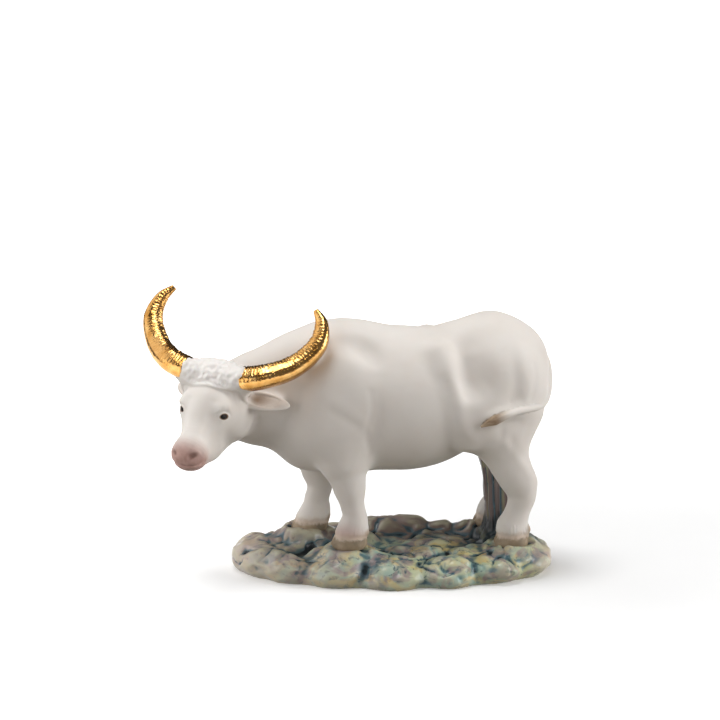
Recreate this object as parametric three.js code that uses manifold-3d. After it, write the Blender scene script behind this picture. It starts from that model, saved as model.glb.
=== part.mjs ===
// A porcelain figurine of a water buffalo ox: a matte white animal with two crescent horns,
// standing a little across a low glazed base of water-worn rocks, with a tree stump between
// its hind legs that carries the belly.
//
// Millimetres, +Z up. The ox's body lies along X and faces -X, so its left side is -Y.
// The origin is the centre of the base's flat underside.
//
// The animal and the rocks are modelled as rounded masses that melt into each other. Each mass
// is a function of a point that gives the distance to its surface, below zero inside it. The
// joined masses are skinned with a fine mesh, which is then thinned where it is nearly flat.
import * as THREE from "three";
import { mergeVertices } from "three/addons/utils/BufferGeometryUtils.js";
import Module from "manifold-3d";

const wasm = await Module();
wasm.setup();

// Driving dimensions of the ox
const TRACK = 11.5; // sideways distance of each leg from the middle
const BARREL_HALF_WIDTH = 19.5;
const LEFT_FORE_SOLE = [-15.7, -TRACK, 11];
const RIGHT_FORE_SOLE = [-24, TRACK, 11.2];
const LEFT_HIND_SOLE = [35, -TRACK, 9];
const RIGHT_HIND_SOLE = [33, TRACK, 10.2];
const HEAD_CENTRE = [-61.5, -14, 55.7]; // the point between the eyes
const HEAD_TURN = 54; // degrees to the ox's left
const HEAD_DIP = 36; // degrees that the muzzle is lowered
const HEAD_TILT = -3;
const LEFT_HORN_DROOP = 1.1; // how much lower the left horn is set
const LEFT_HORN_PULL = 1.1; // how much further its tip curls inwards
const LEFT_HORN_LIFT = 3.4; // how far it is raised to clear the shoulder

// Driving dimensions of the base
const BASE_HALF_LENGTH = 50.2;
const BASE_HALF_DEPTH = 28.5;
const BASE_TURN = -10; // degrees that the base's long axis is turned from the ox's
const RIM_STONES = 16;
const TOP_STONES = 30;
const STUMP_ROOTS = 7;

const CLEARANCE = 0.7; // between the ox and the rocks that hold it
const CELL = 1.15; // grid pitch of the skin
const OX_TRIANGLES = 7400;
const BASE_TRIANGLES = 2400;

const rad = THREE.MathUtils.degToRad;

// Blends of two distances. "soft" is how wide the fillet between the masses is.
function join(a, b, soft) {
  const near = Math.max(soft - Math.abs(a - b), 0);
  return Math.min(a, b) - (near * near) / (4 * soft);
}

function carve(a, hollow, soft) {
  return -join(-a, hollow, soft);
}

// A mass with three half-widths, turned about its centre by degrees about x, y and z.
function mass(centre, halfWidths, turn = [0, 0, 0]) {
  const [cx, cy, cz] = centre;
  const [rx, ry, rz] = halfWidths;
  const spin = new THREE.Matrix4()
    .makeRotationFromEuler(new THREE.Euler(...turn.map(rad), "ZYX"))
    .transpose().elements;
  return (x, y, z) => {
    const dx = x - cx;
    const dy = y - cy;
    const dz = z - cz;
    const u = (spin[0] * dx + spin[4] * dy + spin[8] * dz) / rx;
    const v = (spin[1] * dx + spin[5] * dy + spin[9] * dz) / ry;
    const w = (spin[2] * dx + spin[6] * dy + spin[10] * dz) / rz;
    const reach = Math.sqrt(u * u + v * v + w * w);
    const slope = Math.sqrt((u / rx) ** 2 + (v / ry) ** 2 + (w / rz) ** 2);
    return slope < 1e-9 ? -Math.min(rx, ry, rz) : (reach * (reach - 1)) / slope;
  };
}

// A tapering limb through joints [x, y, z, radius]. "wide" is its width across y for each
// unit of its depth.
function limb(joints, wide = 1) {
  const bones = joints.slice(1).map((end, i) => {
    const start = [joints[i][0], joints[i][1] / wide, joints[i][2], joints[i][3]];
    const along = [end[0] - start[0], end[1] / wide - start[1], end[2] - start[2]];
    const square = along[0] ** 2 + along[1] ** 2 + along[2] ** 2;
    return { start, along, square, grow: end[3] - start[3] };
  });
  return (x, yRaw, z) => {
    const y = yRaw / wide;
    let nearest = Infinity;
    for (const { start, along, square, grow } of bones) {
      const dx = x - start[0];
      const dy = y - start[1];
      const dz = z - start[2];
      const t = Math.min(
        Math.max((dx * along[0] + dy * along[1] + dz * along[2]) / square, 0),
        1,
      );
      const ox = dx - along[0] * t;
      const oy = dy - along[1] * t;
      const oz = dz - along[2] * t;
      const d = Math.sqrt(ox * ox + oy * oy + oz * oz) - (start[3] + grow * t);
      nearest = Math.min(nearest, d);
    }
    return nearest;
  };
}

// Joins masses one after another: each entry is [distance, soft].
function gather(entries) {
  const [[first], ...rest] = entries;
  return (x, y, z) => {
    let d = first(x, y, z);
    for (const [other, soft] of rest) d = join(d, other(x, y, z), soft);
    return d;
  };
}

// The same mass mirrored to both sides of y = 0.
const bothSides = (distance) => (x, y, z) => distance(x, Math.abs(y), z);

// Joints resampled on a smooth curve, so that a limb bends without corners.
function curved(joints, steps) {
  const line = new THREE.CatmullRomCurve3(
    joints.map(([x, y, z]) => new THREE.Vector3(x, y, z)),
    false,
    "centripetal",
  );
  return Array.from({ length: steps + 1 }, (_, i) => {
    const t = i / steps;
    const p = line.getPoint(t);
    const place = t * (joints.length - 1);
    const low = Math.min(Math.floor(place), joints.length - 2);
    const radius = THREE.MathUtils.lerp(joints[low][3], joints[low + 1][3], place - low);
    return [p.x, p.y, p.z, radius];
  });
}

// Barrel, chest, hindquarters and neck
function torso() {
  return gather([
    [mass([3, 0, 54.2], [30, BARREL_HALF_WIDTH, 22.4]), 1],
    [mass([-17, 0, 55], [17, 16.5, 22.5]), 8],
    [mass([31.5, 0, 61.5], [17, 16, 17.6]), 6],
    [limb([[-30, 0, 66.4, 9], [-22, 0, 69.6, 9], [-10, 0, 69, 8.5], [4, 0, 66, 8]]), 5],
    [limb([[20, 0, 69, 8], [30, 0, 70.5, 8.5], [38, 0, 66, 8]]), 6],
    [
      limb(
        curved(
          [
            [-16, 0, 57, 21],
            [-30, 0, 57, 17.2],
            [-40, 1.2, 56, 15.3],
            [-47, 1.8, 55.6, 12.4],
            [-51.5, 0, 56, 9.8],
          ],
          20,
        ),
        0.7,
      ),
      6,
    ],
    [mass([-27, -0.5, 43], [8.4, 7.5, 9.2], [0, 20, 0]), 7],
  ]);
}

// The bony ridge from the point of the hip down to the flank, and the hollow behind it
const hipRidge = bothSides(
  limb(
    curved(
      [
        [12.4, 10.2, 70.4, 4],
        [14.6, 13, 66, 3.6],
        [17, 15.6, 58, 2.8],
        [18.4, 16.4, 50, 2.8],
        [20.6, 13.6, 43, 3],
      ],
      10,
    ),
  ),
);
const hipHollow = bothSides(mass([21.4, 18.5, 67], [3.2, 3.4, 8], [0, -6, 0]));
const thighGroove = bothSides(limb([[35.4, 17.6, 69, 0.8], [36.2, 19, 62, 1.4], [35, 19, 55, 1]]));
const shoulderCrease = bothSides(limb([[-7.4, 19.6, 64, 0.6], [-8, 20, 54, 1.4], [-9.4, 18.6, 42, 1.6]]));
const withersHollow = bothSides(mass([-12, 15.5, 75], [7, 5, 3.6], [0, 30, 0]));

// Shoulder, elbow, forearm, knee, cannon and pastern of one foreleg
function foreleg(side, knee, fetlock) {
  const y = side * TRACK;
  return gather([
    [mass([-19, side * 11.5, 58], [9, 5.2, 14], [0, 14, 0]), 1],
    [mass([-24.5, side * 11, 48], [7.5, 5.5, 8], [0, -10, 0]), 5],
    [
      limb(
        [
          [knee[0] - 3.2, y * 0.92, 46, 9.2],
          [knee[0] - 2, y * 0.97, 38, 7.7],
          [knee[0] - 0.4, y, 30, 4.9],
        ],
        0.78,
      ),
      4,
    ],
    [
      limb([
        [knee[0] - 0.4, y, 31, 4.6],
        [knee[0], y, knee[1], 4.3],
        [knee[0] + 0.6, y, knee[1] - 4, 3.75],
        [fetlock[0], y, fetlock[1] + 3.2, 3.75],
        [fetlock[0], y, fetlock[1], 4.3],
        [fetlock[0] - 0.7, y, fetlock[1] - 1.8, 4.5],
      ]),
      2,
    ],
    [dewclaws([fetlock[0] + 3.1, y, fetlock[1] - 2.6]), 0.7],
  ]);
}

// Haunch, thigh, gaskin, hock, cannon and pastern of one hind leg
function hindleg(side, stifle, hock, fetlock) {
  const y = side * TRACK;
  return gather([
    [mass([32, side * 9, 56], [14.5, 8.6, 17], [0, -8, 0]), 1],
    [mass([26, side * 11.5, 48.6], [8, 6, 9.4], [0, -14, 0]), 5],
    [
      limb(
        [
          [stifle[0] + 1.2, y * 0.86, stifle[1] + 1.6, 8.8],
          [stifle[0] + 3.2, y * 0.94, stifle[1] - 4.8, 6.5],
          [hock[0] - 1.6, y, hock[1] + 2.4, 5.6],
        ],
        0.8,
      ),
      4,
    ],
    [
      limb([
        [hock[0] - 2, y, hock[1] + 3.2, 4.9],
        [hock[0], y, hock[1], 5],
        [hock[0] + 0.2, y, hock[1] - 4, 4.3],
        [fetlock[0] + 1.2, y, fetlock[1] + 3.2, 3.85],
        [fetlock[0], y, fetlock[1], 4.2],
        [fetlock[0] - 0.9, y, fetlock[1] - 2, 4.7],
      ]),
      2,
    ],
    [dewclaws([fetlock[0] + 3.8, y, fetlock[1] - 3]), 0.7],
  ]);
}

// The two small claws behind the pastern
function dewclaws([x, y, z]) {
  return gather([
    [mass([x, y - 2.1, z], [1.2, 1, 1.4]), 1],
    [mass([x, y + 2.1, z], [1.2, 1, 1.4]), 0.3],
  ]);
}

// A hoof that flares down and forward to a flat sole
function hoof([x, y, sole], top) {
  const shell = limb([
    [x + 1.1, y, top, 4.6],
    [x, y, sole - 1, 6.1],
  ], 0.93);
  return (px, py, pz) => carve(shell(px, py, pz), pz - sole, 0.6);
}

// The head is modelled about its own centre between the eyes, with +x towards the muzzle,
// +y to the ox's left and +z out of the forehead.
const headFrame = new THREE.Matrix4()
  .makeRotationFromEuler(
    new THREE.Euler(rad(HEAD_TILT), rad(HEAD_DIP), rad(180 + HEAD_TURN), "ZYX"),
  )
  .setPosition(...HEAD_CENTRE);

function inHeadFrame(distance) {
  const m = headFrame.clone().invert().elements;
  return (x, y, z) =>
    distance(
      m[0] * x + m[4] * y + m[8] * z + m[12],
      m[1] * x + m[5] * y + m[9] * z + m[13],
      m[2] * x + m[6] * y + m[10] * z + m[14],
    );
}

function skull() {
  const solid = gather([
    [mass([-5, 0, -3], [10, 9, 8.4]), 1],
    [limb([[-2, 0, -3, 6.2], [5, 0, -2.4, 5.2], [13, 0.4, -2.4, 4.7]], 0.95), 4],
    [mass([14.6, 0.7, -2.6], [4.8, 5.3, 4.7]), 3],
    [limb([[-4.5, 0, -13, 6.3], [4, 0.4, -10.2, 5.5], [11.4, 0.5, -6.8, 3.9]], 0.94), 4],
    [bothSides(mass([-8.6, 6.4, -8.8], [8.6, 5, 8])), 3],
    [bothSides(mass([-2.4, 5.8, 1.6], [3.6, 2.2, 2], [0, 0, 20])), 2.5],
  ]);
  const sockets = bothSides(mass([1.2, 8, 0.9], [2.6, 1.7, 1.6]));
  const eyeballs = bothSides(mass([0.3, 6.3, 0], [1.7, 1.4, 1.4]));
  const nostrils = bothSides(mass([17.6, 3.2, 0], [1.3, 1, 0.9]));
  return (x, y, z) => {
    let d = carve(solid(x, y, z), sockets(x, y, z), 1.6);
    d = join(d, eyeballs(x, y, z), 0.5);
    return carve(d, nostrils(x, y, z), 0.8);
  };
}

// The woolly cushion between the horns
const poll = limb([
  [-12.2, -5, 0.9, 6.2],
  [-12.2, 0, 1.2, 6.6],
  [-12.2, 5, 0.9, 6.2],
]);

// One crescent horn, in the plane of the forehead
const HORN_LINE = [
  [-11.5, 6.5, 4.4, 3.6],
  [-14.6, 15.3, 4.2, 3.5],
  [-21.9, 23.2, 2.6, 3.2],
  [-31, 28.2, 3.7, 2.7],
  [-37.5, 27.4, 5.6, 1.8],
  [-41.6, 24.2, 7, 0.5],
];
function horn(side, droop, pull, lift) {
  const joints = HORN_LINE.map(([x, y, z, radius], i) => {
    const along = i / (HORN_LINE.length - 1);
    const raise = lift * Math.min(1, 1.9 * along);
    return [
      x + 0.56 * raise,
      side * (y - pull * along + 0.4 * raise),
      z - droop + 0.73 * raise,
      radius,
    ];
  });
  return limb(curved(joints, 18));
}

// One ear: a folded leaf with a hollow that faces forward
function ear(root, tip) {
  const from = new THREE.Vector3(...root);
  const to = new THREE.Vector3(...tip);
  const span = to.clone().sub(from);
  const length = span.length();
  const out = span.clone().normalize();
  const wide = new THREE.Vector3(1, 0, -0.25).addScaledVector(out, -out.x).normalize();
  const thin = new THREE.Vector3().crossVectors(out, wide);
  thin.multiplyScalar(Math.sign(thin.z)); // the hollow faces out of the forehead
  const frame = new THREE.Matrix4().makeBasis(out, wide, thin).setPosition(from).invert().elements;
  const leaf = mass([length * 0.46, 0, 0], [length * 0.56, 3, 1.5]);
  const hollow = mass([length * 0.5, 0, 1.9], [length * 0.36, 1.9, 1.7]);
  return (x, y, z) => {
    const u = frame[0] * x + frame[4] * y + frame[8] * z + frame[12];
    const v = frame[1] * x + frame[5] * y + frame[9] * z + frame[13];
    const w = frame[2] * x + frame[6] * y + frame[10] * z + frame[14];
    return carve(leaf(u, v, w), hollow(u, v, w), 0.8);
  };
}

function head() {
  const left = ear([-10.8, 7.5, -4], [-12.7, 22.4, -6.4]);
  const right = ear([-12, -7, -5.5], [-16.4, -16.6, -8.8]);
  return gather([
    [skull(), 1],
    [poll, 0.5],
    [left, 1.5],
    [right, 1.5],
    [horn(1, LEFT_HORN_DROOP, LEFT_HORN_PULL, LEFT_HORN_LIFT), 0.6],
    [horn(-1, 0, 0, 0), 0.6],
  ]);
}

// The tail hangs down the rump and swings across the left haunch
function tail() {
  return limb(
    curved(
      [
        [43, 0, 71.5, 1.8],
        [47.6, -0.6, 64, 1.7],
        [48.2, -2.7, 56.5, 1.5],
        [45.3, -9.7, 53.1, 1.4],
        [40.4, -15.5, 53.1, 1.4],
        [34.8, -18.9, 53, 1.35],
        [31.3, -19.6, 52.2, 1.4],
        [28.4, -19.8, 51, 1.6],
        [24.3, -19.2, 49.4, 0.4],
      ],
      24,
    ),
  );
}

const muscles = gather([
  [torso(), 1],
  [hipRidge, 4],
  [bothSides(mass([23, 14.4, 53], [7, 4.6, 8.6])), 3],
  [foreleg(-1, [-15.2, 28], [-13.9, 18]), 4],
  [foreleg(1, [-21.2, 28], [-21.8, 17.5]), 4],
  [hindleg(-1, [31.4, 40], [38.4, 28], [36.2, 17]), 4],
  [hindleg(1, [31.6, 40], [40.2, 28.6], [34.8, 16.8]), 4],
]);

function modelled(x, y, z) {
  let d = carve(muscles(x, y, z), hipHollow(x, y, z), 4);
  d = carve(d, thighGroove(x, y, z), 2.6);
  d = carve(d, shoulderCrease(x, y, z), 2.2);
  return carve(d, withersHollow(x, y, z), 4);
}

const ox = gather([
  [modelled, 1],
  [hoof(LEFT_FORE_SOLE, 15.6), 0.8],
  [hoof(RIGHT_FORE_SOLE, 15), 0.8],
  [hoof(LEFT_HIND_SOLE, 13.6), 0.8],
  [hoof(RIGHT_HIND_SOLE, 14), 0.8],
  [inHeadFrame(head()), 2],
  [tail(), 0.7],
]);

// The base is a low slab with a ring of boulders round its rim and flatter stones on top.
function boulders() {
  const entries = [[mass([0, 0, 1], [BASE_HALF_LENGTH - 4, BASE_HALF_DEPTH - 4, 7.6]), 1]];
  for (let i = 0; i < RIM_STONES; i++) {
    const angle = (i / RIM_STONES) * 2 * Math.PI;
    const across = BASE_HALF_LENGTH * Math.sin(angle);
    const along = BASE_HALF_DEPTH * Math.cos(angle);
    const size = 1 + 0.15 * Math.sin(i * 2.3);
    const inset = (8.2 * size) / Math.hypot(across, along);
    entries.push([
      mass(
        [
          BASE_HALF_LENGTH * Math.cos(angle) - inset * along,
          BASE_HALF_DEPTH * Math.sin(angle) - inset * across,
          3 + 1.2 * Math.abs(Math.cos(angle)),
        ],
        [9.6 * size, 8.2 * size, 5.3 + 0.5 * Math.sin(i * 1.7)],
        [0, 0, THREE.MathUtils.radToDeg(Math.atan2(along, -across))],
      ),
      1.6,
    ]);
  }
  for (let i = 0; i < TOP_STONES; i++) {
    const angle = i * 2.4;
    const out = Math.sqrt((i + 0.5) / TOP_STONES);
    entries.push([
      mass(
        [
          (BASE_HALF_LENGTH - 11) * out * Math.cos(angle),
          (BASE_HALF_DEPTH - 8) * out * Math.sin(angle),
          6.4 + 0.7 * Math.sin(i * 1.9) - out,
        ],
        [6.4 + 1.6 * Math.sin(i * 2.7), 4.6 + Math.sin(i * 1.3), 3.2],
        [8 * Math.sin(i), 6 * Math.cos(i * 1.7), i * 47],
      ),
      0.9,
    ]);
  }
  const heap = gather(entries);
  const c = Math.cos(rad(BASE_TURN));
  const s = Math.sin(rad(BASE_TURN));
  return (x, y, z) => heap(c * x + s * y, c * y - s * x, z);
}

// The stump is a bundle of upright roots that spread at the foot.
function stump() {
  const core = limb([
    [34.2, 0.6, 4, 6],
    [34.3, 0.6, 13, 4],
    [32, 0.6, 38, 4.4],
  ]);
  const entries = [[core, 1]];
  for (let i = 0; i < STUMP_ROOTS; i++) {
    const angle = (i / STUMP_ROOTS) * 2 * Math.PI;
    const x = Math.cos(angle);
    const y = Math.sin(angle);
    entries.push([
      limb(
        curved(
          [
            [34.2 + 8.4 * x, 0.6 + 8.4 * y, 4, 2.6],
            [34.3 + 4 * x, 0.6 + 4 * y, 12, 1.7],
            [33.8 + 3.2 * x, 0.6 + 3.2 * y, 25, 1.6],
            [32 + 4 * x, 0.6 + 4 * y, 38, 2],
          ],
          10,
        ),
      ),
      0.8,
    ]);
  }
  return gather(entries);
}

const rocks = gather([
  [boulders(), 1],
  [mass([-26, 12, 7.2], [11, 10, 4.4]), 1.5],
  [mass([-15, -12, 6.6], [11, 9, 4.8]), 1.5],
  [mass([3, 16.5, 7], [12, 7.5, 5.8], [0, 0, 10]), 1.2],
  [mass([20, 14, 6.4], [8, 6, 4.4], [0, 0, -20]), 1.2],
  [mass([34, -10, 6.2], [10.5, 9, 3.4]), 1.5],
  [mass([32, 12, 6.6], [9.5, 8.5, 4.2]), 1.5],
  [mass([-39, 7, 6.2], [6.5, 6, 4.4]), 1.2],
  [stump(), 1.4],
]);

const base = (x, y, z) => carve(rocks(x, y, z), ox(x, y, z) - CLEARANCE, 0.4);

// Skins a distance function with a closed mesh. Each grid cube is cut into six tetrahedra round
// its diagonal, and each tetrahedron that the surface crosses gives one or two triangles.
const CUBE_SLICES = [
  [1, 3],
  [3, 2],
  [2, 6],
  [6, 4],
  [4, 5],
  [5, 1],
];

function skin(distance, low, high, cell) {
  const [nx, ny, nz] = low.map((v, k) => Math.ceil((high[k] - v) / cell) + 1);
  const total = nx * ny * nz;
  const at = (i, j, k) => (k * ny + j) * nx + i;
  const spot = (c) => [
    low[0] + (c % nx) * cell,
    low[1] + (Math.floor(c / nx) % ny) * cell,
    low[2] + Math.floor(c / (nx * ny)) * cell,
  ];

  // Blocks that are clear of the surface are measured once, at their middle.
  const field = new Float64Array(total);
  const block = 5;
  const half = (block * cell) / 2;
  for (let k = 0; k < nz; k += block)
    for (let j = 0; j < ny; j += block)
      for (let i = 0; i < nx; i += block) {
        const [x, y, z] = spot(at(i, j, k));
        const middle = distance(x + half, y + half, z + half);
        const clear = Math.abs(middle) > half * 2.4;
        for (let c = 0; c < block; c++)
          for (let b = 0; b < block; b++)
            for (let a = 0; a < block; a++) {
              if (i + a >= nx || j + b >= ny || k + c >= nz) continue;
              const here = at(i + a, j + b, k + c);
              field[here] = clear ? middle : distance(...spot(here));
            }
      }

  const points = [];
  const crossings = new Map();
  function crossing(inner, outer) {
    const key = Math.min(inner, outer) * total + Math.max(inner, outer);
    const known = crossings.get(key);
    if (known !== undefined) return known;
    const t = THREE.MathUtils.clamp(field[inner] / (field[inner] - field[outer]), 0.05, 0.95);
    const from = spot(inner);
    const to = spot(outer);
    const made = points.length / 3;
    for (let m = 0; m < 3; m++) points.push(from[m] + (to[m] - from[m]) * t);
    crossings.set(key, made);
    return made;
  }

  const faces = [];
  function addFace(a, b, c, inner, outer) {
    const sides = [b, c].map((v) => [0, 1, 2].map((m) => points[3 * v + m] - points[3 * a + m]));
    const [p, q] = sides;
    const from = spot(inner);
    const to = spot(outer);
    const facing =
      (p[1] * q[2] - p[2] * q[1]) * (to[0] - from[0]) +
      (p[2] * q[0] - p[0] * q[2]) * (to[1] - from[1]) +
      (p[0] * q[1] - p[1] * q[0]) * (to[2] - from[2]);
    if (facing > 0) faces.push(a, b, c);
    else faces.push(a, c, b);
  }
  for (let k = 0; k < nz - 1; k++)
    for (let j = 0; j < ny - 1; j++)
      for (let i = 0; i < nx - 1; i++) {
        const corner = [];
        for (let c = 0; c < 8; c++) corner.push(at(i + (c & 1), j + ((c >> 1) & 1), k + (c >> 2)));
        const filled = corner.filter((c) => field[c] < 0).length;
        if (filled === 0 || filled === 8) continue;
        for (const [first, second] of CUBE_SLICES) {
          const tetra = [corner[0], corner[first], corner[second], corner[7]];
          const inner = tetra.filter((c) => field[c] < 0);
          const outer = tetra.filter((c) => field[c] >= 0);
          if (inner.length === 0 || outer.length === 0) continue;
          const cut = inner.flatMap((a) => outer.map((b) => crossing(a, b)));
          addFace(cut[0], cut[1], cut[2], inner[0], outer[0]);
          if (cut.length === 4) addFace(cut[1], cut[2], cut[3], inner[0], outer[0]);
        }
      }
  return { points: Float64Array.from(points), faces: Uint32Array.from(faces) };
}

// Moves each vertex of the skin onto the surface itself, along the slope of the distance.
function settle(mesh, distance, rounds) {
  const { points } = mesh;
  const h = 0.05;
  for (let round = 0; round < rounds; round++)
    for (let i = 0; i < points.length; i += 3) {
      const [x, y, z] = points.subarray(i, i + 3);
      const d = distance(x, y, z);
      const slope = [
        (distance(x + h, y, z) - distance(x - h, y, z)) / (2 * h),
        (distance(x, y + h, z) - distance(x, y - h, z)) / (2 * h),
        (distance(x, y, z + h) - distance(x, y, z - h)) / (2 * h),
      ];
      const steep = Math.max(slope[0] ** 2 + slope[1] ** 2 + slope[2] ** 2, 0.5);
      const step = THREE.MathUtils.clamp(d / steep, -0.25, 0.25);
      for (let m = 0; m < 3; m++) points[i + m] -= slope[m] * step;
    }
}

// Thins a closed mesh to the number of triangles asked for. The edge whose removal moves the
// surface least goes first. Each vertex keeps the planes of the triangles it stands for, as a
// quadric, and an edge is left alone where its removal would fold or pinch the surface. "care"
// says how much an error counts at each place along x.
function thin({ points, faces }, wanted, care) {
  const count = points.length / 3;
  const tris = [];
  const ringOf = Array.from({ length: count }, () => new Set());
  for (let f = 0; f < faces.length; f += 3) {
    const tri = [faces[f], faces[f + 1], faces[f + 2]];
    for (const v of tri) ringOf[v].add(tris.length);
    tris.push(tri);
  }
  const at = (v) => [points[3 * v], points[3 * v + 1], points[3 * v + 2]];
  const minus = (a, b) => [a[0] - b[0], a[1] - b[1], a[2] - b[2]];
  const cross = (a, b) => [
    a[1] * b[2] - a[2] * b[1],
    a[2] * b[0] - a[0] * b[2],
    a[0] * b[1] - a[1] * b[0],
  ];
  const dot = (a, b) => a[0] * b[0] + a[1] * b[1] + a[2] * b[2];

  const quadrics = Array.from({ length: count }, () => new Float64Array(10));
  for (const [a, b, c] of tris) {
    const normal = cross(minus(at(b), at(a)), minus(at(c), at(a)));
    const size = Math.sqrt(dot(normal, normal));
    if (size < 1e-12) continue;
    const n = normal.map((v) => v / size);
    const plane = [...n, -dot(n, at(a))];
    let place = 0;
    for (let i = 0; i < 4; i++)
      for (let j = i; j < 4; j++) {
        for (const v of [a, b, c])
          quadrics[v][place] += (plane[i] * plane[j] * size * care(points[3 * v])) / 6;
        place++;
      }
  }
  const error = (q, [x, y, z]) =>
    q[0] * x * x + 2 * q[1] * x * y + 2 * q[2] * x * z + 2 * q[3] * x +
    q[4] * y * y + 2 * q[5] * y * z + 2 * q[6] * y +
    q[7] * z * z + 2 * q[8] * z + q[9];

  function best(a, b) {
    const q = quadrics[a].map((v, i) => v + quadrics[b][i]);
    const pa = at(a);
    const pb = at(b);
    const middle = pa.map((v, i) => (v + pb[i]) / 2);
    const matrix = new THREE.Matrix3().set(q[0], q[1], q[2], q[1], q[4], q[5], q[2], q[5], q[7]);
    const choices = [middle, pa, pb];
    const trace = q[0] + q[4] + q[7];
    if (Math.abs(matrix.determinant()) > 1e-4 * trace ** 3) {
      const p = new THREE.Vector3(-q[3], -q[6], -q[8]).applyMatrix3(matrix.invert());
      const away = Math.hypot(p.x - middle[0], p.y - middle[1], p.z - middle[2]);
      const span = minus(pa, pb);
      if (away < 1.2 * Math.sqrt(dot(span, span))) choices.push([p.x, p.y, p.z]);
    }
    let chosen = choices[0];
    let least = Infinity;
    for (const choice of choices) {
      const e = error(q, choice);
      if (e < least - 1e-12) {
        least = e;
        chosen = choice;
      }
    }
    const span = minus(pa, pb);
    return { cost: Math.max(least, 0) + 2e-5 * dot(span, span) ** 2, place: chosen, q };
  }

  const heap = [];
  const stamp = new Int32Array(count);
  function push(a, b) {
    const { cost, place, q } = best(a, b);
    const item = { cost, place, q, a, b, sa: stamp[a], sb: stamp[b] };
    let i = heap.push(item) - 1;
    while (i > 0) {
      const parent = (i - 1) >> 1;
      if (heap[parent].cost <= item.cost) break;
      heap[i] = heap[parent];
      i = parent;
    }
    heap[i] = item;
  }
  function pop() {
    const top = heap[0];
    const last = heap.pop();
    if (heap.length) {
      let i = 0;
      for (;;) {
        let child = 2 * i + 1;
        if (child >= heap.length) break;
        if (child + 1 < heap.length && heap[child + 1].cost < heap[child].cost) child++;
        if (heap[child].cost >= last.cost) break;
        heap[i] = heap[child];
        i = child;
      }
      heap[i] = last;
    }
    return top;
  }
  const neighbours = (v) => {
    const found = new Set();
    for (const f of ringOf[v]) for (const w of tris[f]) if (w !== v) found.add(w);
    return found;
  };
  const longest = (corners) =>
    Math.max(
      ...[0, 1, 2].map((i) => {
        const side = minus(corners[(i + 1) % 3], corners[i]);
        return dot(side, side);
      }),
    );
  function folds(v, other, place) {
    for (const f of ringOf[v]) {
      const tri = tris[f];
      if (tri.includes(other)) continue;
      const old = tri.map(at);
      const moved = tri.map((w, i) => (w === v ? place : old[i]));
      const before = cross(minus(old[1], old[0]), minus(old[2], old[0]));
      const after = cross(minus(moved[1], moved[0]), minus(moved[2], moved[0]));
      const size = Math.sqrt(dot(after, after));
      const was = Math.sqrt(dot(before, before));
      if (size < 1e-4) return true;
      if (was > 0.02 && dot(before, after) < 0.3 * size * was) return true;
      if (size < 0.06 * longest(moved) && size / longest(moved) < was / longest(old)) return true;
    }
    return false;
  }

  for (const [a, b, c] of tris) for (const [v, w] of [[a, b], [b, c], [c, a]]) if (v < w) push(v, w);
  let left = tris.length;
  const alive = tris.map(() => true);
  while (left > wanted && heap.length) {
    const { place, q, a, b, sa, sb } = pop();
    if (stamp[a] !== sa || stamp[b] !== sb) continue;
    const nearB = neighbours(b);
    const shared = [...neighbours(a)].filter((v) => nearB.has(v));
    if (shared.length !== 2 || folds(a, b, place) || folds(b, a, place)) continue;
    for (const f of [...ringOf[b]]) {
      if (tris[f].includes(a)) {
        for (const v of tris[f]) ringOf[v].delete(f);
        alive[f] = false;
        left--;
      } else {
        tris[f] = tris[f].map((v) => (v === b ? a : v));
        ringOf[a].add(f);
      }
    }
    ringOf[b].clear();
    points.set(place, 3 * a);
    quadrics[a] = q;
    stamp[a]++;
    stamp[b] = -1;
    for (const v of neighbours(a)) push(a, v);
  }
  return { points, faces: tris.filter((_, f) => alive[f]).flat() };
}

function toGeometry({ points, faces }) {
  const used = [...new Set(faces)].sort((a, b) => a - b);
  const place = new Map(used.map((v, i) => [v, i]));
  const geometry = new THREE.BufferGeometry();
  const positions = Float32Array.from(used.flatMap((v) => [...points.slice(3 * v, 3 * v + 3)]));
  geometry.setAttribute("position", new THREE.BufferAttribute(positions, 3));
  geometry.setIndex(faces.map((v) => place.get(v)));
  return geometry;
}

function toSolid(geometry) {
  return new wasm.Manifold(
    new wasm.Mesh({
      numProp: 3,
      vertProperties: Float32Array.from(geometry.attributes.position.array),
      triVerts: Uint32Array.from(geometry.index.array),
    }),
  );
}

function fromSolid(solid) {
  const { vertProperties, triVerts } = solid.getMesh();
  const geometry = new THREE.BufferGeometry();
  geometry.setAttribute("position", new THREE.BufferAttribute(vertProperties, 3));
  geometry.setIndex([...triVerts]);
  return geometry;
}

function sculpt(distance, low, high, triangles, care) {
  const mesh = skin(distance, low, high, CELL);
  settle(mesh, distance, 2);
  return toGeometry(thin(mesh, triangles, care));
}

const finerHead = (x) => (x < -42 ? 5 : 1);
const even = () => 1;
const oxShape = sculpt(ox, [-78, -42, 6], [54, 30, 92], OX_TRIANGLES, finerHead);
const heapShape = sculpt(base, [-54, -36, -9], [54, 36, 44], BASE_TRIANGLES, even);

// The base stands on a flat underside.
const floorBlock = mergeVertices(
  new THREE.BoxGeometry(140, 100, 20)
    .translate(0, 0, -10)
    .deleteAttribute("normal")
    .deleteAttribute("uv"),
);
const baseShape = fromSolid(toSolid(heapShape).subtract(toSolid(floorBlock)));

const bisque = new THREE.MeshStandardMaterial({ color: 0xe9e6e6, roughness: 0.55 });
const glaze = new THREE.MeshStandardMaterial({ color: 0x8e9a86, roughness: 0.2 });

function piece(name, geometry, material) {
  geometry.computeVertexNormals();
  const mesh = new THREE.Mesh(geometry, material);
  mesh.name = name;
  return mesh;
}

const figurine = new THREE.Group();
figurine.add(piece("ox", oxShape, bisque));
figurine.add(piece("rock_base", baseShape, glaze));

export default figurine;
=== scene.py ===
import math

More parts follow.
